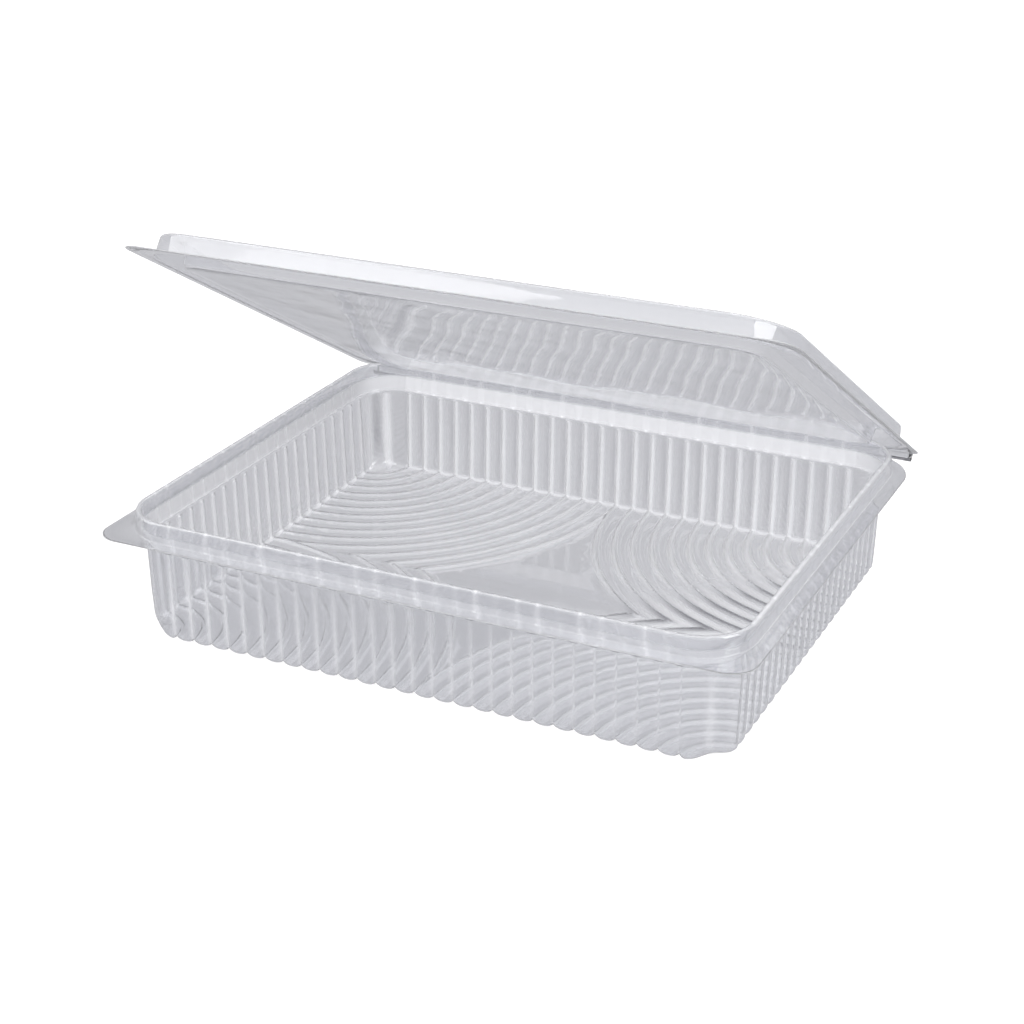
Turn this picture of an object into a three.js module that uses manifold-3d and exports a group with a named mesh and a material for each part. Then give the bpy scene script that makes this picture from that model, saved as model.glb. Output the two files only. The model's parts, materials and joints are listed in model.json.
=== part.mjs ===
import * as THREE from 'three';
import { mergeVertices } from 'three/addons/utils/BufferGeometryUtils.js';
import Module from 'manifold-3d';

const wasm = await Module();
wasm.setup();

// sheet, in millimetres
const SHEET = 0.6;

// ribs: one pitch all round, shared by the walls and the floor
const PITCH = 7.3;
const RIBS_LONG = 15;
const RIBS_SHORT = 12;
const FIRST_GROOVE = 2;
const GROOVE_DEPTH = 1.5;
const GROOVE_HALF = 1.75;

// tray body, outside face of the sheet, as half sizes
const BASE_X = 110.2;
const BASE_Y = 88.0;
const LEDGE_Z = 34.6;
const HINGE_Z = 39.5;
const FLANGE_TOP = HINGE_Z - 0.15;
const WALL_LEAN = 0.9;
const LEDGE = 0.8;
const CORNER = 15.0;

// raised rim round the mouth
const RIM_HEIGHT = 7.0;
const RIM_WIDTH = 2.3;
const RIM_LEAN = 0.4;

// flange
const FLANGE_X = 120;
const FLANGE_Y = 97.1;
const FLANGE_FRONT_CORNER = 9;
const TRAY_BACK_CORNER = 22;
const LID_BACK_CORNER = 6;

// lid, with heights counted from the closed joint face
const LID_GAP = 0.35;
const LID_HEIGHT = 8.1;
const LID_BORDER = 9;
const LID_INNER_LEAN = 2;
const LID_OPEN = THREE.MathUtils.degToRad(30);

// rolled bead along the lid's back edge, which the lid turns about
const BEAD_RADIUS = 2.2;
const BEAD_LENGTH = 233;
const BEAD_GAP = 0.3;

const CORNER_STEPS = 5;

// one level of a rounded rectangle, counter-clockwise, as a ring of points
function ring(halfX, halfY, radius, z, back = { y: halfY, radius }) {
	const points = [];
	for (let corner = 0; corner < 4; corner++) {
		const sx = corner === 0 || corner === 3 ? 1 : -1;
		const r = corner < 2 ? back.radius : radius;
		const centreY = corner < 2 ? back.y - r : r - halfY;
		for (let i = 0; i <= CORNER_STEPS; i++) {
			const a = (corner + i / CORNER_STEPS) * Math.PI / 2;
			const x = sx * (halfX - r) + r * Math.cos(a);
			points.push(new THREE.Vector3(x, centreY + r * Math.sin(a), z));
		}
	}
	return points;
}

// closed body through rings that all have the same number of points
function loft(rings) {
	const n = rings[0].length;
	const positions = rings.flat().flatMap((p) => [p.x, p.y, p.z]);
	const index = [];
	for (let r = 0; r < rings.length - 1; r++) {
		for (let i = 0; i < n; i++) {
			const a = r * n + i;
			const b = r * n + (i + 1) % n;
			index.push(a, b, b + n, a, b + n, a + n);
		}
	}
	for (const [r, flip] of [[0, true], [rings.length - 1, false]]) {
		for (let i = 1; i < n - 1; i++) {
			const [a, b, c] = [r * n, r * n + i, r * n + i + 1];
			index.push(a, flip ? c : b, flip ? b : c);
		}
	}
	const geometry = new THREE.BufferGeometry();
	geometry.setAttribute('position', new THREE.Float32BufferAttribute(positions, 3));
	geometry.setIndex(index);
	return geometry;
}

function signedVolume(geometry) {
	const p = geometry.getAttribute('position');
	const index = geometry.getIndex();
	const [a, b, c] = [new THREE.Vector3(), new THREE.Vector3(), new THREE.Vector3()];
	let sum = 0;
	for (let i = 0; i < index.count; i += 3) {
		a.fromBufferAttribute(p, index.getX(i));
		b.fromBufferAttribute(p, index.getX(i + 1));
		c.fromBufferAttribute(p, index.getX(i + 2));
		sum += a.dot(b.cross(c)) / 6;
	}
	return sum;
}

// body for joining and cutting, with its faces turned outwards
function solid(source) {
	const bare = source.clone();
	bare.deleteAttribute('normal');
	bare.deleteAttribute('uv');
	const geometry = mergeVertices(bare, 1e-4);
	const triVerts = new Uint32Array(geometry.getIndex().array);
	if (signedVolume(geometry) < 0) {
		for (let i = 0; i < triVerts.length; i += 3) {
			[triVerts[i + 1], triVerts[i + 2]] = [triVerts[i + 2], triVerts[i + 1]];
		}
	}
	const vertProperties = new Float32Array(geometry.getAttribute('position').array);
	return new wasm.Manifold(new wasm.Mesh({ numProp: 3, vertProperties, triVerts }));
}

function join(bodies) {
	let list = bodies;
	while (list.length > 1) {
		const next = [];
		for (let i = 0; i < list.length; i += 2) {
			next.push(i + 1 < list.length ? list[i].add(list[i + 1]) : list[i]);
		}
		list = next;
	}
	return list[0];
}

function toGeometry(body) {
	const mesh = body.getMesh();
	const geometry = new THREE.BufferGeometry();
	const positions = new Float32Array(mesh.vertProperties);
	geometry.setAttribute('position', new THREE.BufferAttribute(positions, 3));
	geometry.setIndex(Array.from(mesh.triVerts));
	geometry.computeVertexNormals();
	return geometry;
}

// outside levels of the tray, or the same moved inwards by the sheet
function bodyLevels(inset, lift) {
	const slope = WALL_LEAN / LEDGE_Z;
	const at = (z, grow, radius) => ring(
		BASE_X + grow + slope * z - inset,
		BASE_Y + grow + slope * z - inset,
		radius - inset,
		z,
	);
	return [
		at(lift, -2.1, CORNER + 7),
		at(lift + 2.1, 0, CORNER + 3),
	];
}

// wedge that runs down a wall, at s along it, for each of the four walls
function wallWedge(side, s, deeper, top) {
	const steep = GROOVE_DEPTH / GROOVE_HALF;
	const reach = 2;
	const level = (z) => {
		const face = (side % 2 ? BASE_X : BASE_Y) + WALL_LEAN * z / LEDGE_Z;
		const apex = face - GROOVE_DEPTH - deeper;
		const back = face + reach;
		const half = (back - apex) / steep;
		return [[s, apex], [s + half, back], [s - half, back]].map(([u, v]) => {
			const p = new THREE.Vector3(u, v, z);
			return p.applyAxisAngle(new THREE.Vector3(0, 0, 1), side * Math.PI / 2);
		});
	};
	return loft([level(-2), level(top)]);
}

// wedge that runs round a corner of the floor at one radius
function floorWedge(radius, deeper) {
	const steep = GROOVE_DEPTH / GROOVE_HALF;
	const apex = GROOVE_DEPTH + deeper;
	const low = -2;
	const half = (apex - low) / steep;
	const profile = [[radius - half, low], [radius + half, low], [radius, apex], [radius - half, low]];
	const steps = 4 * Math.round(4 + radius / 40);
	const lathe = new THREE.LatheGeometry(profile.map(([r, z]) => new THREE.Vector2(r, z)), steps);
	return lathe.rotateX(Math.PI / 2);
}

// all wedges of one face of the sheet, with a family about each of the four corners
function wedges(deeper, top) {
	const bodies = [];
	for (const [sx, sy] of [[1, 1], [-1, 1], [-1, -1], [1, -1]]) {
		const past = 0.01;
		const box = new THREE.BoxGeometry(130, 110, 20).translate(sx * (65 - past), sy * (55 - past), 0);
		const quarter = solid(box);
		for (let j = FIRST_GROOVE; j <= RIBS_LONG; j++) {
			const wedge = floorWedge(j * PITCH, deeper);
			wedge.translate(sx * RIBS_LONG * PITCH, sy * RIBS_SHORT * PITCH, 0);
			bodies.push(solid(wedge).intersect(quarter));
		}
	}
	for (let side = 0; side < 4; side++) {
		const count = (side % 2 ? RIBS_SHORT : RIBS_LONG) - FIRST_GROOVE;
		for (let j = -count; j <= count; j++) {
			bodies.push(solid(wallWedge(side, j * PITCH, deeper, top)));
		}
	}
	return join(bodies);
}

// open ring section swept along the back edge, with its mouth towards the tray
function hingeBead() {
	const centre = new THREE.Vector2(FLANGE_Y, 0);
	const arc = (radius, from, to) => Array.from({ length: 13 }, (_, i) => {
		const a = THREE.MathUtils.degToRad(from + (to - from) * i / 12);
		return new THREE.Vector2(radius * Math.cos(a), radius * Math.sin(a)).add(centre);
	});
	const section = [...arc(BEAD_RADIUS, -140, 172), ...arc(BEAD_RADIUS - SHEET, 172, -140)];
	const shape = new THREE.Shape(section);
	const bead = new THREE.ExtrudeGeometry(shape, { depth: BEAD_LENGTH, bevelEnabled: false, steps: 1 });
	bead.translate(0, 0, -BEAD_LENGTH / 2);
	bead.applyMatrix4(new THREE.Matrix4().makeBasis(
		new THREE.Vector3(0, 1, 0),
		new THREE.Vector3(0, 0, 1),
		new THREE.Vector3(1, 0, 0),
	));
	return bead;
}

function makeTray() {
	const rimBase = FLANGE_TOP - SHEET;
	const crest = FLANGE_TOP + RIM_HEIGHT;
	const shoulderX = BASE_X + WALL_LEAN;
	const shoulderY = BASE_Y + WALL_LEAN;
	const under = LEDGE_Z - SHEET;
	const outerLegX = shoulderX + LEDGE + RIM_WIDTH;
	const outerLegY = shoulderY + LEDGE + RIM_WIDTH;
	const outer = (grow, z) => ring(outerLegX + grow, outerLegY + grow, CORNER + 3.6 + grow, z);
	const inner = (grow, z) => ring(
		shoulderX + LEDGE + grow,
		shoulderY + LEDGE + grow,
		CORNER + 1.2 + grow,
		z,
	);

	const flange = (z) => ring(FLANGE_X, FLANGE_Y, FLANGE_FRONT_CORNER, z, {
		y: FLANGE_Y - BEAD_RADIUS - BEAD_GAP,
		radius: TRAY_BACK_CORNER,
	});

	const outside = join([
		solid(loft([
			...bodyLevels(0, 0),
			ring(shoulderX, shoulderY, CORNER + 0.4, under),
			inner(0, under + 0.01),
			inner(0.1, FLANGE_TOP - SHEET / 2),
		])),
		solid(loft([
			flange(rimBase),
			flange(FLANGE_TOP),
		])),
		solid(loft([outer(RIM_LEAN, rimBase + 0.1), outer(0, crest)])),
	]).subtract(wedges(0, under));

	const offset = SHEET * (Math.hypot(1, GROOVE_DEPTH / GROOVE_HALF));
	const inside = join([
		solid(loft([
			...bodyLevels(SHEET, SHEET),
			ring(shoulderX - SHEET, shoulderY - SHEET, CORNER + 0.4 - SHEET, LEDGE_Z),
			inner(-SHEET, LEDGE_Z + 0.01),
			inner(0.3 - SHEET, crest + 1),
		])),
	]).subtract(wedges(offset, LEDGE_Z));

	const slot = solid(loft([outer(RIM_LEAN - SHEET, rimBase - 1), outer(-SHEET, crest - SHEET)]))
		.subtract(solid(loft([inner(0, rimBase - 2), inner(0.3, crest)])));

	return outside.subtract(inside).subtract(slot);
}

// The lid is shaped closed, with the hinge line at height 0, then swung open. A hollow border
// drops over the tray's rim, and the panel inside it lies level with the flange.
function makeLid() {
	const low = 0.15;
	const panel = low + SHEET;
	const rimX = BASE_X + WALL_LEAN + LEDGE + RIM_WIDTH + RIM_LEAN + LID_GAP + SHEET;
	const rimY = BASE_Y + WALL_LEAN + LEDGE + RIM_WIDTH + RIM_LEAN + LID_GAP + SHEET;
	const radius = CORNER + 5;
	const wall = (grow, z) => ring(rimX + grow, rimY + grow, radius + grow, z);
	const flange = (z) => ring(FLANGE_X, FLANGE_Y, FLANGE_FRONT_CORNER, z, {
		y: FLANGE_Y - BEAD_RADIUS + SHEET,
		radius: LID_BACK_CORNER,
	});

	const outside = join([
		solid(loft([
			flange(low),
			flange(panel),
		])),
		solid(loft([
			wall(0, low + 0.1),
			wall(-0.4, LID_HEIGHT - 0.8),
			wall(-1.1, LID_HEIGHT),
		])),
	]);
	const innerWall = (grow, z) => {
		const lean = LID_INNER_LEAN * (LID_HEIGHT - z) / (LID_HEIGHT - panel);
		return wall(grow - LID_BORDER - lean, z);
	};
	const recess = solid(loft([innerWall(0, panel), innerWall(0, LID_HEIGHT + 0.01)]));
	const hollow = solid(loft([
		wall(-SHEET, low - 1),
		wall(-0.4 - SHEET, LID_HEIGHT - 0.8 - SHEET / 2),
		wall(-1.1 - SHEET, LID_HEIGHT - SHEET),
	])).subtract(solid(loft([innerWall(SHEET, low - 2), innerWall(SHEET, LID_HEIGHT + 1)])));
	const shell = outside.subtract(recess).subtract(hollow);
	const geometry = toGeometry(shell.add(solid(hingeBead())));
	geometry.translate(0, -FLANGE_Y, 0);
	geometry.rotateX(-LID_OPEN);
	geometry.translate(0, FLANGE_Y, HINGE_Z);
	return geometry;
}

function clearSheet() {
	return new THREE.MeshStandardMaterial({
		color: 0xdfe1e6,
		roughness: 0.08,
		metalness: 0,
		transparent: true,
		opacity: 0.4,
	});
}

const part = new THREE.Group();
part.name = 'hinged_container';

const tray = new THREE.Mesh(toGeometry(makeTray()), clearSheet());
tray.name = 'tray';
part.add(tray);

const lid = new THREE.Mesh(makeLid(), clearSheet());
lid.name = 'lid';
part.add(lid);

export default part;
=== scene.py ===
import json
import math

import bpy
import numpy as np
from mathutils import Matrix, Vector, geometry


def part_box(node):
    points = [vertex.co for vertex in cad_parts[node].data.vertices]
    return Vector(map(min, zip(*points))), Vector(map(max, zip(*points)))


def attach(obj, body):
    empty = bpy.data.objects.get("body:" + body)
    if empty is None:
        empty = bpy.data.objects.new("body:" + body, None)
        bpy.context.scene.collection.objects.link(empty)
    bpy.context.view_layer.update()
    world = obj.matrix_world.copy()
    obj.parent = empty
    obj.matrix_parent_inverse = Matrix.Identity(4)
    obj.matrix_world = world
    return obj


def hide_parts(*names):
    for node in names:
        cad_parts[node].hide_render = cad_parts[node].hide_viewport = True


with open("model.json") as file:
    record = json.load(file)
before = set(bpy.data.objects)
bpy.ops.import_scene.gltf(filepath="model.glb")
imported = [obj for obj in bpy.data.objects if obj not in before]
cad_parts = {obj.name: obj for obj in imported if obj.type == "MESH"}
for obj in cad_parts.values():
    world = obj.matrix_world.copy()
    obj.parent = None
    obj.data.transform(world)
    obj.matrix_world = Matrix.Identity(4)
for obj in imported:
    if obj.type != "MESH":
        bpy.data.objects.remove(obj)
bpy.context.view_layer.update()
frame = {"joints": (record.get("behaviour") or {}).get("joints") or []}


# Tray
# One sheet of clear plastic, drawn hot into a ribbed mould: a floor with rings of grooves about its
# four corners, ribbed walls, a narrow ledge, a hollow rim round the mouth and a flat flange. Only
# the flange's cut edge is open. The sheet is whitened where it is bent tightly, and painted highlights
# and painted shade are laid over its grooves, edges and rim.
MM = 0.001
SHEET = 0.3 * MM
PITCH = 7.3 * MM
RIB_DEPTH = 1.6 * MM
RIB_END = 0.24
WALL_SHARE = 0.75
FRONT_SHARE = 0.5
RIBS_LONG = 13
RIBS_SHORT = 10
RIB_ARCH = 1.0 * MM
FLOOR_FIRST = 2
FLOOR_LAST = 15
FLOOR_CENTRE_X = 15 * PITCH
FLOOR_CENTRE_Y = 12 * PITCH

tray_low, tray_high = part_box("tray")
FLANGE_X = tray_high.x
FLANGE_Y = -tray_low.y
FLANGE_BACK = tray_high.y
CREST = tray_high.z
FLANGE_TOP = CREST - 7.0 * MM
FLANGE_FRONT_CORNER = 9 * MM
FLANGE_BACK_CORNER = 22 * MM
BASE_X = 110.2 * MM
BASE_Y = 88.0 * MM
CORNER = 15 * MM
CORNER_TURNS = 22
WALL_LEAN = 0.9 * MM
LEDGE_Z = 34.0 * MM
FLOOR_EDGE = 2.2 * MM
FLOOR_CORNER_EDGE = 7.0 * MM
EDGE_STEPS = 5
RIM_HALF = 0.8 * MM
RIM_LEG = WALL_LEAN + 1.1 * MM
HALF_RIB = np.array([0, 0.06, 0.14, 0.24, 0.37, 0.5])
LINE_WIDTH = 0.12
UP = np.array([0, 0, 1])


def relief(place, first, last):
    """Depth of the grooves at a place in pitches: round lobes with a narrow groove at each whole number."""
    away = np.abs(place - np.clip(np.round(place), first, last))
    inside = (place >= first) & (place <= last)
    lobe = np.clip(1 - 2 * away, 0, 1) ** 3
    end = np.clip(1 - away / RIB_END, 0, 1) ** 2
    return RIB_DEPTH * np.where(inside, lobe, end)


def groove_line(place, first, last, width=LINE_WIDTH):
    """1 along the tight bend of each groove, falling to 0 on the lobes. The width is in pitches."""
    away = np.abs(place - np.clip(np.round(place), first, last))
    return np.exp(-((away / width) ** 2))


def rib_places(first, last):
    """Places across the ribs from one groove to another, in pitches, close together at the grooves."""
    one_rib = np.concatenate((HALF_RIB, 1 - HALF_RIB[-2:0:-1]))
    return np.append((np.arange(first, last)[:, None] + one_rib).ravel(), last)


def wall_places(last):
    """Places along a ribbed wall, in pitches from its middle, with the run-out past the last grooves."""
    tail = last + HALF_RIB[1:4]
    return np.concatenate((-tail[::-1], rib_places(-last, last), tail))


def side_line(along, half_along, half_across, radius):
    """Distance out to a side at places along it, which falls off where its corners begin."""
    past = np.clip(np.abs(along) - (half_along - radius), 0, radius)
    return half_across - radius + np.sqrt(radius**2 - past**2)


def inside_by(points, half_x, half_y, radius):
    """How far points lie inside a rounded rectangle."""
    past = np.abs(points) - (half_x - radius, half_y - radius)
    out = np.hypot(*np.maximum(past, 0).T)
    return radius - out - np.minimum(np.max(past, axis=1), 0)


class Outline:
    """Places round a rounded rectangle: the same number at every level, so that levels can be joined."""

    def __init__(self, along_x, along_y, turns):
        self.x, self.y, self.turns = along_x, along_y, turns

    def corner(self, half_x, half_y, radius):
        """Points of one corner, from the long side to the short side."""
        first_x, first_y = self.x[-1], self.y[-1]
        turn = np.radians(np.arange(90, -0.5, -0.5))
        arc_x = half_x - radius + radius * np.cos(turn)
        arc_y = half_y - radius + radius * np.sin(turn)
        start = (first_x, np.interp(first_x, arc_x, arc_y))
        end = (np.interp(-first_y, -arc_y, arc_x), first_y)
        between = (arc_x > first_x + 0.001 * MM) & (arc_y > first_y + 0.001 * MM)
        path = np.vstack((start, np.column_stack((arc_x[between], arc_y[between])), end))
        length = np.concatenate(([0], np.cumsum(np.hypot(*np.diff(path, axis=0).T))))
        at = np.linspace(0, length[-1], self.turns + 2)
        return np.column_stack([np.interp(at, length, path[:, axis]) for axis in (0, 1)])

    def level(self, half_x, half_y, radius, height, back=None):
        """Closed line at one height, counter-clockwise from the front left.

        back: the half depth and corner radius of the rear, where they differ from the front's.
        """
        front, rear = (half_y, radius), back or (half_y, radius)
        front_corner, rear_corner = self.corner(half_x, *front), self.corner(half_x, *rear)
        side_x = np.where(
            self.y < 0,
            side_line(self.y, front[0], half_x, front[1]),
            side_line(self.y, rear[0], half_x, rear[1]),
        )
        flat = np.vstack((
            np.column_stack((self.x, -side_line(self.x, half_x, *front))),
            front_corner[1:-1] * (1, -1),
            np.column_stack((side_x, self.y)),
            rear_corner[-2:0:-1],
            np.column_stack((self.x, side_line(self.x, half_x, *rear)))[::-1],
            rear_corner[1:-1] * (-1, 1),
            np.column_stack((-side_x, self.y))[::-1],
            front_corner[-2:0:-1] * (-1, -1),
        ))
        return np.column_stack((flat, np.full(len(flat), height)))

    def by_side(self, values):
        """Spreads eight values over a level: the front, the corner after it, the right side and so on."""
        return np.repeat(values, [len(self.x), self.turns, len(self.y), self.turns] * 2)


def outward(line):
    """Level directions that point out of a closed line."""
    step = np.roll(line, -1, 0)[:, :2] - np.roll(line, 1, 0)[:, :2]
    out = np.column_stack((step[:, 1], -step[:, 0], np.zeros(len(line))))
    return out / np.linalg.norm(out, axis=1)[:, None]


def fill(rows, row, inner, height_of, creases=()):
    """Points and triangles of the field inside one level, numbered as the whole sheet's points are."""
    border = rows[row]
    points = np.vstack((border[:, :2], inner)) / MM
    found, _, faces, origins = geometry.delaunay_2d_cdt(
        [tuple(point) for point in points], list(creases), [list(range(len(border)))], 1, 1e-5
    )[:4]
    number, added = [], []
    for point, origin in zip(found, origins):
        if origin and origin[0] < len(border):
            number.append(row * len(border) + origin[0])
        else:
            number.append(len(rows) * len(border) + len(added))
            added.append(point)
    added = np.array(added) * MM
    return np.column_stack((added, height_of(added))), [tuple(number[v] for v in face) for face in faces]


def sheet_object(name, rows, more_points, more_faces, whitening_and_painted_light):
    """One formed sheet: levels joined by quads, with the fields that close them, given its thickness."""
    count = len(rows[0])
    faces = []
    for row in range(len(rows) - 1):
        for i in range(count):
            a, b = row * count + i, row * count + (i + 1) % count
            faces.append((a, b, b + count, a + count))
    mesh = bpy.data.meshes.new(name)
    mesh.from_pydata(np.vstack((*rows, more_points)).tolist(), [], faces + more_faces)
    mesh.validate()
    mesh.polygons.foreach_set("use_smooth", [True] * len(mesh.polygons))
    mesh.attributes.new("painted_light_and_whitening", "FLOAT", "POINT").data.foreach_set("value", whitening_and_painted_light)
    made = bpy.data.objects.new(name, mesh)
    bpy.context.scene.collection.objects.link(made)
    wall = made.modifiers.new("sheet", "SOLIDIFY")
    wall.thickness = SHEET
    wall.offset = -1
    wall.use_even_offset = False
    return made


def ring_place(points):
    """Distance from the nearest corner's ring centre, in pitches."""
    across, back = np.abs(points[:, 0]), np.abs(points[:, 1])
    return np.hypot(FLOOR_CENTRE_X - across, FLOOR_CENTRE_Y - back) / PITCH


def floor_relief(points):
    """Depth of the floor's ring grooves."""
    return relief(ring_place(points), FLOOR_FIRST, FLOOR_LAST)


# whitening and painted highlights from 0, clear, to 1, white; below 0 it is painted shade
DARKEST = -0.6
FLOOR_LINE = 0.45
# the floor's lines are painted lighter to the right and to the back, with a painted sheen at the right
RIGHTWARDS = 0.33
REARWARDS = 0.16
RIGHT_FRONT_LOSS = 0.2
RIGHT_REAR_GAIN = 0.4
RIGHT_SHEEN = 0.3
RIGHT_WIDTH = 0.06
# painted shade in the grooves and painted highlights on the lobes where the rings about the right rear
# corner run across the floor
PAINTED_SHADE_LINE = 1.3
PAINTED_LOBE_HIGHLIGHT = 0.85
DARK_FROM = math.radians(38)
DARK_FULL = math.radians(60)
DARK_FRONT = -14.4 * MM
DARK_FRONT_FADE = 12 * MM
DARK_LEFT_FADE = 30 * MM


def rise(value, low, high):
    """0 up to a low value, 1 from a high one, and a straight rise between them."""
    return np.clip((value - low) / (high - low), 0, 1)


def floor_whitening_and_painted_light(points):
    """Whitened line in each ring groove, laid on as a painted highlight, stronger to the right and
    to the back, with a painted sheen at the right.

    Where the rings about the right rear corner run across the floor, the grooves get painted shade
    and the lobes between them painted highlights.
    """
    x, y, place = points[:, 0], points[:, 1], ring_place(points)
    right, rear = rise(x, 0, BASE_X), y / BASE_Y
    dark = rise(np.arctan2(FLOOR_CENTRE_Y - y, FLOOR_CENTRE_X - x), DARK_FROM, DARK_FULL)
    dark = dark * rise(y, DARK_FRONT, DARK_FRONT + DARK_FRONT_FADE) * rise(x, 0, DARK_LEFT_FADE)
    line = FLOOR_LINE + RIGHTWARDS * x / BASE_X + REARWARDS * rear
    line = line - RIGHT_FRONT_LOSS * right * rise(-rear, 0, 1)
    line = line + RIGHT_REAR_GAIN * right * rise(rear, -0.3, 0.7) * (1 - dark) - PAINTED_SHADE_LINE * dark
    width = LINE_WIDTH + RIGHT_WIDTH * right
    line = line * groove_line(place, FLOOR_FIRST, FLOOR_LAST, width)
    right_sheen = RIGHT_SHEEN * right * rise(rear, -0.5, 0.75)
    lobe = PAINTED_LOBE_HIGHLIGHT * dark * rise(FLOOR_LAST - place, 0, 1) * np.sin(math.pi * place) ** 2
    return np.clip(line + right_sheen + lobe, DARKEST, 1)


# ribs round the wall's foot, and the floor's edge, which is rounder at the corners
walls = Outline(wall_places(RIBS_LONG) * PITCH, wall_places(RIBS_SHORT) * PITCH, CORNER_TURNS)
base = walls.level(BASE_X, BASE_Y, CORNER, 0)
out = outward(base)
turned = np.arange(1, CORNER_TURNS + 1) / (CORNER_TURNS + 1)
long_rib = relief(walls.x / PITCH, -RIBS_LONG, RIBS_LONG)
short_rib = relief(walls.y / PITCH, -RIBS_SHORT, RIBS_SHORT)
plain_corner = np.zeros(CORNER_TURNS)
plain_long, plain_short = np.zeros(len(walls.x)), np.zeros(len(walls.y))
rib = np.concatenate((
    FRONT_SHARE * long_rib,
    plain_corner,
    WALL_SHARE * short_rib,
    plain_corner,
    WALL_SHARE * long_rib,
    plain_corner,
    WALL_SHARE * short_rib,
    plain_corner,
))
round_corner = np.sin(math.pi * turned) ** 2
swell = np.concatenate((plain_long, round_corner, plain_short, round_corner) * 2)
edge_radius = FLOOR_EDGE + (FLOOR_CORNER_EDGE - FLOOR_EDGE) * swell

# whitening and painted highlights of each wall's grooves, brightest on the back wall and faintest on
# the front; of the floor's edge and the rim, from the front round to the left
FRONT, RIGHT, BACK, LEFT = 0.2, 0.55, 1.05, 0.62
EDGE_WHITENING_AND_HIGHLIGHT = (0.06, 0.06, 0.15, 0.2, 0.55, 0.12, 0.7, 0.15)
RIM_WHITENING_AND_HIGHLIGHT = (0.85, 0.85, 1.9, 1.5, 1.85, 1.1, 1.1, 0.9)
FRONT_SLOPE = 0.8
LEFT_WIDTH = 0.18
# painted highlight and painted shade beside the back wall's grooves, and painted shade in its left corner
LOBE_HIGHLIGHT = 0.18
LOBE_SHADE = 0.12
CORNER_SHADE = 0.3
FOOT_FADE = 1.45
TOP_FADE = 0.5
# painted highlights in streaks over the ribs on the rim, weaker on the right side
RIM_HIGHLIGHTS = 1.2
HIGHLIGHT_FLOOR = 0.1
RIGHT_HIGHLIGHTS = 0.3


def strip(place, width):
    """Upright line in a corner, at a share of its turn, for painted highlights and painted shade."""
    return np.exp(-(((turned - place) / width) ** 2))


# painted highlights running up the corners
corner_highlight = strip(0.4, 0.07) + 0.5 * strip(0.83, 0.09)
long_line = groove_line(walls.x / PITCH, -RIBS_LONG, RIBS_LONG)
lobe_highlight = LOBE_HIGHLIGHT * groove_line(walls.x / PITCH + 0.35, -RIBS_LONG, RIBS_LONG, 0.14)
lobe_shade = LOBE_SHADE * groove_line(walls.x / PITCH - 0.25, -RIBS_LONG, RIBS_LONG, 0.1)
wall_whitening_and_painted_light = np.concatenate((
    FRONT * (1 - FRONT_SLOPE * walls.x / BASE_X) * long_line,
    FRONT * corner_highlight,
    RIGHT * groove_line(walls.y / PITCH, -RIBS_SHORT, RIBS_SHORT),
    BACK * corner_highlight[::-1],
    BACK * long_line + lobe_highlight - lobe_shade,
    BACK * corner_highlight - CORNER_SHADE * strip(0.62, 0.09),
    LEFT * groove_line(walls.y / PITCH, -RIBS_SHORT, RIBS_SHORT, LEFT_WIDTH),
    FRONT * corner_highlight[::-1],
))

# the floor's rounded edge, where the ring grooves give way to the wall's ribs
tray_rows, tray_whitening_and_painted_light = [], []
for step in range(EDGE_STEPS + 1):
    share = step / EDGE_STEPS
    turn = share * math.pi / 2
    at = base - out * (edge_radius * (1 - math.sin(turn)))[:, None]
    at = at + UP * (edge_radius * (1 - math.cos(turn)))[:, None]
    blend = share**2 * (3 - 2 * share)
    depth = floor_relief(at) * (1 - blend) + rib * blend
    inwards = UP * math.cos(turn) - out * math.sin(turn)
    tray_rows.append(at + inwards * depth[:, None])
    edge_line = walls.by_side(EDGE_WHITENING_AND_HIGHLIGHT) * math.sin(2 * turn)
    bend_and_painted_light = floor_whitening_and_painted_light(at) * (1 - blend) + wall_whitening_and_painted_light * blend
    tray_whitening_and_painted_light.append(np.maximum(bend_and_painted_light, edge_line))

# the ribbed wall: shares of its height, and then of the arch that closes each rib below the ledge
for share, arch in ((0.33, 0), (0.67, 0), (1, 0), (1, 0.45), (1, 0.75), (1, 0.93), (1, 1)):
    height = edge_radius + (LEDGE_Z - RIB_ARCH - edge_radius) * share + RIB_ARCH * arch
    depth = rib * math.sqrt(1 - arch**2)
    at = base + out * (WALL_LEAN * height / LEDGE_Z - depth)[:, None]
    tray_rows.append(at + UP * height[:, None])
    fade = FOOT_FADE - (FOOT_FADE - TOP_FADE) * height / LEDGE_Z
    tray_whitening_and_painted_light.append(np.minimum(wall_whitening_and_painted_light * fade, 1) * (1 - arch**2))

# section of the ledge and the rim: distance out from the foot, height, and whitening with painted
# highlights
crest_foot = CREST - SHEET - RIM_HALF
leg_out = RIM_LEG + 2 * RIM_HALF
underside = FLANGE_TOP - SHEET
rim_section = [
    (WALL_LEAN + 0.08 * MM, LEDGE_Z + 0.25 * MM, 0.1),
    (WALL_LEAN + 0.35 * MM, LEDGE_Z + 0.55 * MM, 0.22),
    (WALL_LEAN + 0.72 * MM, LEDGE_Z + 0.8 * MM, 0.3),
    (WALL_LEAN + 0.82 * MM, LEDGE_Z + 1.3 * MM, 0.46),
    (WALL_LEAN + 0.96 * MM, FLANGE_TOP + 1.0 * MM, 0.5),
    (WALL_LEAN + 1.0 * MM, FLANGE_TOP + 2.1 * MM, 0.08),
    (RIM_LEG, crest_foot, 0.06),
]
for degrees, whitening_and_painted_light in ((140, 0.2), (110, 0.3), (70, 0.3), (40, 0.2)):
    turn = math.radians(degrees)
    over = RIM_LEG + RIM_HALF * (1 + math.cos(turn))
    rim_section.append((over, crest_foot + RIM_HALF * math.sin(turn), whitening_and_painted_light))
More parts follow.
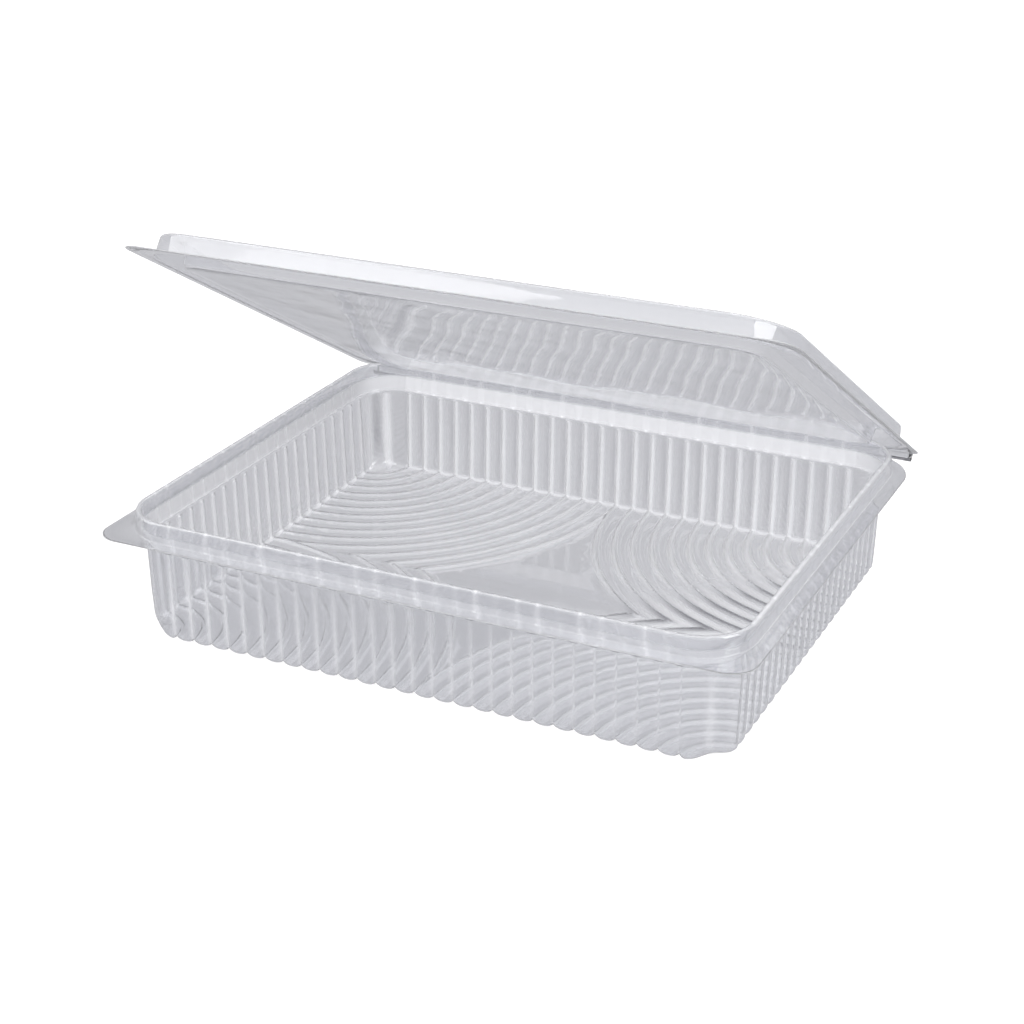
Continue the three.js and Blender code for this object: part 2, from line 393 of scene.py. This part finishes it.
rim_section += [
    (leg_out, crest_foot, 0.05),
    (leg_out + 0.4 * MM, underside + 0.5 * MM, 0.05),
    (leg_out + 0.5 * MM, underside + 0.12 * MM, 0.2),
    (leg_out + 0.9 * MM, underside, 0.05),
]


def highlight_streaks(along, last):
    """Painted highlights in short streaks on the rim over the middle of each rib, some stronger than
    others.
    """
    rim_highlights = groove_line(along / PITCH + 0.5, -last, last)
    return rim_highlights * (0.6 + 0.4 * np.sin(along / PITCH * 2.3))


long_highlights, short_highlights = highlight_streaks(walls.x, RIBS_LONG), highlight_streaks(walls.y, RIBS_SHORT)
rim_highlights = np.concatenate((
    long_highlights,
    plain_corner,
    RIGHT_HIGHLIGHTS * short_highlights,
    plain_corner,
    long_highlights,
    plain_corner,
    short_highlights,
    plain_corner,
))
rim_share = walls.by_side(RIM_WHITENING_AND_HIGHLIGHT)
for grow, height, whitening_and_painted_light in rim_section:
    tray_rows.append(walls.level(BASE_X + grow, BASE_Y + grow, CORNER + grow, height))
    rim_lit = whitening_and_painted_light * rim_share * (1 + RIM_HIGHLIGHTS * rim_highlights) + HIGHLIGHT_FLOOR * rim_highlights
    tray_whitening_and_painted_light.append(np.minimum(rim_lit, 1))

# the flange, with painted shade at its front corners and whitening with a painted highlight along its cut
# edge
flange_foot = tray_rows[-1]
flange_edge = walls.level(
    FLANGE_X, FLANGE_Y, FLANGE_FRONT_CORNER, underside, (FLANGE_BACK, FLANGE_BACK_CORNER)
)
FLANGE_CORNER_SHADE = 0.07
front_corners = walls.by_side((0, 1, 0, 0, 0, 0, 0, 1))
for share, whitening_and_painted_light in ((0.7, 0), (0.94, 0.02), (1, 0.4)):
    tray_rows.append(flange_foot * (1 - share) + flange_edge * share)
    tray_whitening_and_painted_light.append(whitening_and_painted_light - FLANGE_CORNER_SHADE * front_corners)

# the floor's points follow the grooves, so that each ring keeps a clean line
ARC_STEP = 3.2 * MM
ARC_CHOICES = 40
FIELD_STEP = 4.0 * MM
FIELD_POINTS = 15
EDGE_CLEARANCE = 0.5 * MM
ring_places = np.concatenate((
    [FLOOR_FIRST - RIB_END, FLOOR_FIRST - 0.1],
    rib_places(FLOOR_FIRST, FLOOR_LAST),
    [FLOOR_LAST + 0.08, FLOOR_LAST + RIB_END],
))
floor_points, ring_lines = [], []
for side_x, side_y in ((1, 1), (-1, 1), (-1, -1), (1, -1)):
    for place in ring_places:
        reach = place * PITCH
        end = math.asin(min(1, FLOOR_CENTRE_Y / reach))
        steps = max(8, round(end * reach / ARC_STEP))
        turn = np.linspace(0, end, ARC_CHOICES * steps + 1)
        ring = np.column_stack((
            FLOOR_CENTRE_X - reach * np.cos(turn),
            FLOOR_CENTRE_Y - reach * np.sin(turn),
        ))
        clear = inside_by(ring, BASE_X - FLOOR_EDGE, BASE_Y - FLOOR_EDGE, CORNER + 2 * MM)
        ring = ring[clear > EDGE_CLEARANCE]
        if not len(ring):
            continue
        ring = ring[np.unique(np.round(np.linspace(0, len(ring) - 1, steps + 1)).astype(int))]
        meets_mirror = reach >= FLOOR_CENTRE_Y
        if side_y < 0 and meets_mirror:
            ring = ring[:-1]
        start = len(base) + len(floor_points)
        floor_points.extend((ring * (side_x, side_y)).tolist())
        ring_lines.extend((start + i, start + i + 1) for i in range(len(ring) - 1))
steps = np.arange(-FIELD_POINTS, FIELD_POINTS + 1) * FIELD_STEP
field = np.array([(x, y) for x in steps for y in steps])
field = field[ring_place(field) > FLOOR_LAST + RIB_END + 0.3]
floor_points = np.vstack((floor_points, field))
floor_field, floor_faces = fill(tray_rows, 0, floor_points, floor_relief, ring_lines)
floor_faces = [face[::-1] for face in floor_faces]
tray_whitening_and_painted_light = np.concatenate((*tray_whitening_and_painted_light, floor_whitening_and_painted_light(floor_field)))
tray = sheet_object("tray_sheet", tray_rows, floor_field, floor_faces, tray_whitening_and_painted_light)


class Value:
    """Output of a shader node, which takes part in an expression as a number does."""

    def __init__(self, shade, socket):
        self.shade, self.socket = shade, socket

    def math(self, operation, *values):
        return self.shade.node("ShaderNodeMath", {"operation": operation}, dict(enumerate(values)))

    def __mul__(self, other):
        return self.math("MULTIPLY", self, other)

    def __lt__(self, other):
        return self.math("LESS_THAN", self, other)

    def __gt__(self, other):
        return self.math("GREATER_THAN", self, other)

    def __abs__(self):
        return self.math("ABSOLUTE", self)

    __rmul__ = __mul__


class Shade:
    """Shader of a material or of the surroundings, built up node by node."""

    def __init__(self, holder):
        self.holder = holder
        holder.use_nodes = True
        self.tree = holder.node_tree
        self.tree.nodes.clear()

    def node(self, kind, settings=None, sockets=None, output=0):
        """Adds a node: its settings first, then the values or links of its sockets. Gives one output."""
        made = self.tree.nodes.new(kind)
        for key, value in (settings or {}).items():
            setattr(made, key, value)
        for key, value in (sockets or {}).items():
            if isinstance(value, Value):
                self.tree.links.new(value.socket, made.inputs[key])
            else:
                made.inputs[key].default_value = value
        return Value(self, made.outputs[output]) if made.outputs else None

    def mix(self, share, first, second):
        """First shader at 0, second at 1."""
        return self.node("ShaderNodeMixShader", None, {0: share, 1: first, 2: second})

    def surface(self, shader, output="ShaderNodeOutputMaterial"):
        self.node(output, None, {"Surface": shader})
        return self.holder


CLEAR = (0.915, 0.92, 0.935, 1)
SHADOW_CLEAR = (0.92, 0.92, 0.93, 1)
# white of the bent sheet and of the painted highlights; dark colour of the painted shade
WHITE_BEND_AND_HIGHLIGHT = (0.95, 0.955, 0.97, 1)
PAINTED_SHADE_COLOUR = (0.2, 0.2, 0.22, 1)
WHITENING_AND_SHADE_SHARE = 0.9
GLOSS_ROUGHNESS = 0.04
BEND_ROUGHNESS = 0.5
BEND_CLEAR = 0.35
MIRRORING_IOR = 1.85
RIPPLE_SCALE = 60.0
RIPPLE_DEPTH = 0.3 * MM
RIPPLE_SHARE = 0.2


def clear_plastic(name):
    """Glossy clear sheet, slightly uneven, that turns milky where it is bent, white where highlights are
    painted and dark where shade is painted.
    """
    shade = Shade(bpy.data.materials.new(name))
    place = shade.node("ShaderNodeTexCoord", output="Object")
    ripple = shade.node("ShaderNodeTexNoise", None, {"Vector": place, "Scale": RIPPLE_SCALE})
    bump = shade.node("ShaderNodeBump", None, {
        "Height": ripple,
        "Strength": RIPPLE_SHARE,
        "Distance": RIPPLE_DEPTH,
    })
    glossy = shade.node("ShaderNodeBsdfPrincipled", None, {
        "Base Color": CLEAR,
        "Roughness": GLOSS_ROUGHNESS,
        "IOR": MIRRORING_IOR,
        "Transmission Weight": 1.0,
        "Normal": bump,
    })
    # above 0 whitening and painted highlight, below 0 painted shade
    bend_and_painted_light = shade.node("ShaderNodeAttribute", {"attribute_name": "painted_light_and_whitening"}, output="Fac")
    tone = shade.node(
        "ShaderNodeMix", {"data_type": "RGBA"}, {0: bend_and_painted_light < 0, 6: WHITE_BEND_AND_HIGHLIGHT, 7: PAINTED_SHADE_COLOUR}, output=2
    )
    whitened_and_painted = shade.node("ShaderNodeBsdfPrincipled", None, {
        "Base Color": tone,
        "Roughness": BEND_ROUGHNESS,
        "Transmission Weight": BEND_CLEAR,
    })
    sheet = shade.mix(abs(bend_and_painted_light) * WHITENING_AND_SHADE_SHARE, glossy, whitened_and_painted)
    passed = shade.node("ShaderNodeBsdfTransparent", None, {"Color": SHADOW_CLEAR})
    shadow = shade.node("ShaderNodeLightPath", output="Is Shadow Ray")
    return shade.surface(shade.mix(shadow, sheet, passed))


tray.data.materials.append(clear_plastic("clear_tray"))
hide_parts("tray")
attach(tray, "tray")


# Lid
# The same clear sheet: a flat flange, a raised hollow border that drops over the tray's rim, and a
# panel inside it, held by the border alone and so slightly uneven. The flange's back edge is rolled
# into the bead that the lid turns about.
hinge = next(joint for joint in frame["joints"] if joint["name"] == "lid_hinge")
HINGE_Y, HINGE_Z = hinge["pos_m"][1], hinge["pos_m"][2]
LID_OPEN = math.radians(30)
LID_FLANGE_TOP = 0.75 * MM
LID_HEIGHT = 8.1 * MM
LID_BORDER = 9 * MM
LID_CORNER = 20 * MM
LID_BACK_CORNER = 6 * MM
LID_CORNER_TURNS = 18
STRAIGHT_X = 95 * MM
STRAIGHT_Y = 73 * MM
DOME_X = BASE_X + 5.35 * MM
DOME_Y = BASE_Y + 5.35 * MM
PANEL = LID_FLANGE_TOP - 1.5 * MM
PANEL_X = DOME_X - LID_BORDER - 3 * MM
PANEL_Y = DOME_Y - LID_BORDER - 3 * MM
PANEL_CORNER = LID_CORNER - 12 * MM
PANEL_STEP_X = 2.5 * MM
PANEL_STEP_Y = 3 * MM
PANEL_CLEARANCE = 1.5 * MM
PANEL_WAVE = 0.16 * MM
PANEL_SHEEN = 0.12
FREE_X = DOME_X - 11 * MM
FREE_Y = DOME_Y - 11 * MM
FREE_CORNER = 9 * MM
FREE_FADE = 12 * MM
CALM_FROM = 35 * MM
CALM_FULL = 95 * MM
SHEEN_FROM = -40 * MM
SHEEN_FULL = 60 * MM
BEAD_RADIUS = 2.15 * MM
BEAD_HALF = 116.5 * MM
BEAD_START = math.radians(160)
BEAD_END = math.radians(-140)
BEAD_STEPS = 24
BEAD_SHADE = 0.6
BEAD_SHADE_WIDTH = 0.14

cover = Outline(
    np.linspace(-STRAIGHT_X, STRAIGHT_X, 41), np.linspace(-STRAIGHT_Y, STRAIGHT_Y, 21), LID_CORNER_TURNS
)
lid_back = FLANGE_Y + BEAD_RADIUS * math.cos(BEAD_START)


def dome(grow, height):
    """One level of the raised border, that far outside its foot."""
    return cover.level(DOME_X + grow, DOME_Y + grow, LID_CORNER + grow, height)


def panel_height(points):
    """Height of the panel, with long waves that die away at the border and towards the hinge."""
    x, y = points[:, 0] / MM, points[:, 1] / MM
    wave = np.sin(x / 5.3 + 0.9 * np.sin(y / 17)) * 0.3 + np.sin(y / 9 + x / 37) * 0.3
    wave += np.sin(x / 11.3 - y / 23 + 2) * 0.7
    free = rise(inside_by(points, FREE_X, FREE_Y, FREE_CORNER), 0, FREE_FADE)
    calm = rise(points[:, 1], CALM_FROM, CALM_FULL)
    return PANEL + PANEL_WAVE * wave * free * (1 - calm) ** 2


# section of the lid from the cut edge in to the panel, with the whitening and painted highlights of each
# level
lid_edge = cover.level(
    FLANGE_X, FLANGE_Y, FLANGE_FRONT_CORNER, LID_FLANGE_TOP, (lid_back, LID_BACK_CORNER)
)
lid_foot = dome(0.7 * MM, LID_FLANGE_TOP)
lid_rows = [lid_edge, lid_edge * 0.5 + lid_foot * 0.5, lid_foot]
row_whitening_and_painted_light = [0.4, 0.02, 0.05]
for grow, height, whitening_and_painted_light in (
    (0.2 * MM, LID_FLANGE_TOP + 0.15 * MM, 0.3),
    (0, LID_FLANGE_TOP + 0.6 * MM, 0.15),
    (-0.4 * MM, LID_HEIGHT - 1.2 * MM, 0.1),
    (-0.6 * MM, LID_HEIGHT - 0.5 * MM, 0.3),
    (-1.0 * MM, LID_HEIGHT - 0.12 * MM, 0.2),
    (-1.7 * MM, LID_HEIGHT, 0.06),
    (0.6 * MM - LID_BORDER, LID_HEIGHT, 0.04),
    (0.1 * MM - LID_BORDER, LID_HEIGHT - 0.2 * MM, 0.25),
    (-0.25 * MM - LID_BORDER, LID_HEIGHT - 0.9 * MM, 0.1),
    (-1.6 * MM - LID_BORDER, PANEL + 1.0 * MM, 0.1),
    (-2.1 * MM - LID_BORDER, PANEL + 0.25 * MM, 0.3),
    (-3.0 * MM - LID_BORDER, PANEL, 0),
):
    lid_rows.append(dome(grow, height))
    row_whitening_and_painted_light.append(whitening_and_painted_light)
lid_whitening_and_painted_light = np.repeat(row_whitening_and_painted_light, len(lid_edge))

# the panel, with a faint painted sheen towards the right
along, across = np.arange(-42, 43) * PANEL_STEP_X, np.arange(-28, 29) * PANEL_STEP_Y
grid = np.array([(x, y) for x in along for y in across])
grid = grid[inside_by(grid, PANEL_X, PANEL_Y, PANEL_CORNER) > PANEL_CLEARANCE]
panel_field, lid_faces = fill(lid_rows, len(lid_rows) - 1, grid, panel_height)
panel_sheen = PANEL_SHEEN * rise(panel_field[:, 0], SHEEN_FROM, SHEEN_FULL)

# the rolled bead carries on from the flange's back edge, with painted shade along its free end
behind = (np.abs(lid_edge[:, 0]) < BEAD_HALF) & (lid_edge[:, 1] > lid_back - 1.2 * MM)
back_edge = np.flatnonzero(behind).tolist()
bead_points = []
previous = back_edge
for step in range(1, BEAD_STEPS + 1):
    turn = BEAD_START + (BEAD_END - BEAD_START) * step / BEAD_STEPS
    start = len(lid_rows) * len(lid_edge) + len(panel_field) + len(bead_points)
    row = list(range(start, start + len(back_edge)))
    for x in lid_edge[back_edge, 0]:
        bead_points.append((x, FLANGE_Y + BEAD_RADIUS * math.cos(turn), BEAD_RADIUS * math.sin(turn)))
    lid_faces += [(a, d, c, b) for a, b, c, d in zip(previous, previous[1:], row[1:], row)]
    previous = row
rolled = np.arange(1, BEAD_STEPS + 1) / BEAD_STEPS
bead_shade = -BEAD_SHADE * np.exp(-(((1 - rolled) / BEAD_SHADE_WIDTH) ** 2))

lid_points = np.vstack((panel_field, bead_points))
lid_whitening_and_painted_light = np.concatenate((lid_whitening_and_painted_light, panel_sheen, np.repeat(bead_shade, len(back_edge))))
lid = sheet_object("lid_sheet", lid_rows, lid_points, lid_faces, lid_whitening_and_painted_light)
lid.data.materials.append(clear_plastic("clear_lid"))

# the lid is formed shut and flat, then swung up about the bead
points = np.empty(len(lid.data.vertices) * 3)
lid.data.vertices.foreach_get("co", points)
swing = np.array([
    [1, 0, 0],
    [0, math.cos(LID_OPEN), math.sin(LID_OPEN)],
    [0, -math.sin(LID_OPEN), math.cos(LID_OPEN)],
])
points = (points.reshape(-1, 3) - (0, FLANGE_Y, 0)) @ swing.T + (0, HINGE_Y, HINGE_Z)
lid.data.vertices.foreach_set("co", points.ravel())
lid.data.update()
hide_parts("lid")
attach(lid, "lid")


# Studio
# A sheet of white paper under the container, white surroundings and five large soft lights. Seen
# through the plastic, or mirrored in it, the paper and the surroundings are grey, which gives the
# clear sheet its tone against the white.
FLOOR_HALF = 6
FLOOR_GAP = 0.3 * MM
WHITE = (1, 1, 1, 1)
PAPER = (0.3, 0.3, 0.3, 1)
GREY_FLOOR = (0.575, 0.575, 0.6, 1)
GREY_SKY = (0.56, 0.56, 0.58, 1)

floor = bpy.data.meshes.new("studio_floor")
corners = [(x * FLOOR_HALF, y * FLOOR_HALF, 0) for x, y in ((-1, -1), (1, -1), (1, 1), (-1, 1))]
floor.from_pydata(corners, [], [(0, 1, 2, 3)])
floor = bpy.data.objects.new("studio_floor", floor)
floor.location.z = -FLOOR_GAP
bpy.context.scene.collection.objects.link(floor)
paper = Shade(bpy.data.materials.new("studio_paper"))
white_paper = paper.node("ShaderNodeBsdfPrincipled", None, {
    "Base Color": PAPER,
    "Roughness": 0.9,
    "Emission Color": WHITE,
    "Emission Strength": 0.85,
})
grey_paper = paper.node("ShaderNodeEmission", None, {"Color": GREY_FLOOR})
direct = paper.node("ShaderNodeLightPath", output="Is Camera Ray")
floor.data.materials.append(paper.surface(paper.mix(direct, grey_paper, white_paper)))

surroundings = Shade(bpy.data.worlds.new("studio"))
direct = surroundings.node("ShaderNodeLightPath", output="Is Camera Ray")
grey_sky = surroundings.node("ShaderNodeBackground", None, {"Color": GREY_SKY})
white_sky = surroundings.node("ShaderNodeBackground", None, {"Color": WHITE})
both = surroundings.mix(direct, grey_sky, white_sky)
bpy.context.scene.world = surroundings.surface(both, "ShaderNodeOutputWorld")


def soft_light(name, azimuth, elevation, distance, size, power, mirrored=True):
    """Large soft light aimed at the container. Azimuth 0 is in front, 90 to the right."""
    lamp = bpy.data.lights.new(name, "AREA")
    lamp.shape = "RECTANGLE"
    lamp.size, lamp.size_y = size
    lamp.energy = power
    made = bpy.data.objects.new(name, lamp)
    turn, lift = math.radians(azimuth), math.radians(elevation)
    made.location = (
        distance * math.sin(turn) * math.cos(lift),
        -distance * math.cos(turn) * math.cos(lift),
        distance * math.sin(lift),
    )
    made.rotation_mode = "QUATERNION"
    made.rotation_quaternion = made.location.to_track_quat("Z", "Y")
    made.visible_glossy = mirrored
    made.visible_transmission = mirrored
    bpy.context.scene.collection.objects.link(made)


soft_light("overhead", 0, 80, 1.6, (2.0, 1.5), 6.5)
soft_light("front", 15, 28, 1.8, (2.4, 1.4), 36, mirrored=False)
soft_light("left", -70, 35, 1.6, (1.0, 1.6), 7)
soft_light("back", 165, 46, 1.8, (2.2, 0.9), 5)
soft_light("right", 80, 30, 1.8, (0.9, 1.6), 11)


# Camera
# It stands in front, to the right and a little above, as in the photo, with a long lens aimed at
# the height of the hinge. Light may pass many layers of clear sheet.
AIM = Vector((2.29 * MM, -15.77 * MM, HINGE_Z))
AZIMUTH = math.radians(25.575)
ELEVATION = math.radians(23.707)
DISTANCE = 726.05 * MM
LENS_MM = 71.82
SENSOR_MM = 36
LAYERS = 32
MIRRORINGS = 12

camera = bpy.data.objects.new("camera", bpy.data.cameras.new("camera"))
camera.data.lens = LENS_MM
camera.data.sensor_width = SENSOR_MM
towards = Vector((
    math.sin(AZIMUTH) * math.cos(ELEVATION),
    -math.cos(AZIMUTH) * math.cos(ELEVATION),
    math.sin(ELEVATION),
))
camera.location = AIM + DISTANCE * towards
camera.rotation_mode = "QUATERNION"
camera.rotation_quaternion = towards.to_track_quat("Z", "Y")
bpy.context.scene.collection.objects.link(camera)
bpy.context.scene.camera = camera
bpy.context.scene.view_settings.view_transform = "Standard"
cycles = bpy.context.scene.cycles
cycles.caustics_reflective = False
cycles.caustics_refractive = False
cycles.max_bounces = LAYERS
cycles.transmission_bounces = LAYERS
cycles.transparent_max_bounces = LAYERS
cycles.glossy_bounces = MIRRORINGS
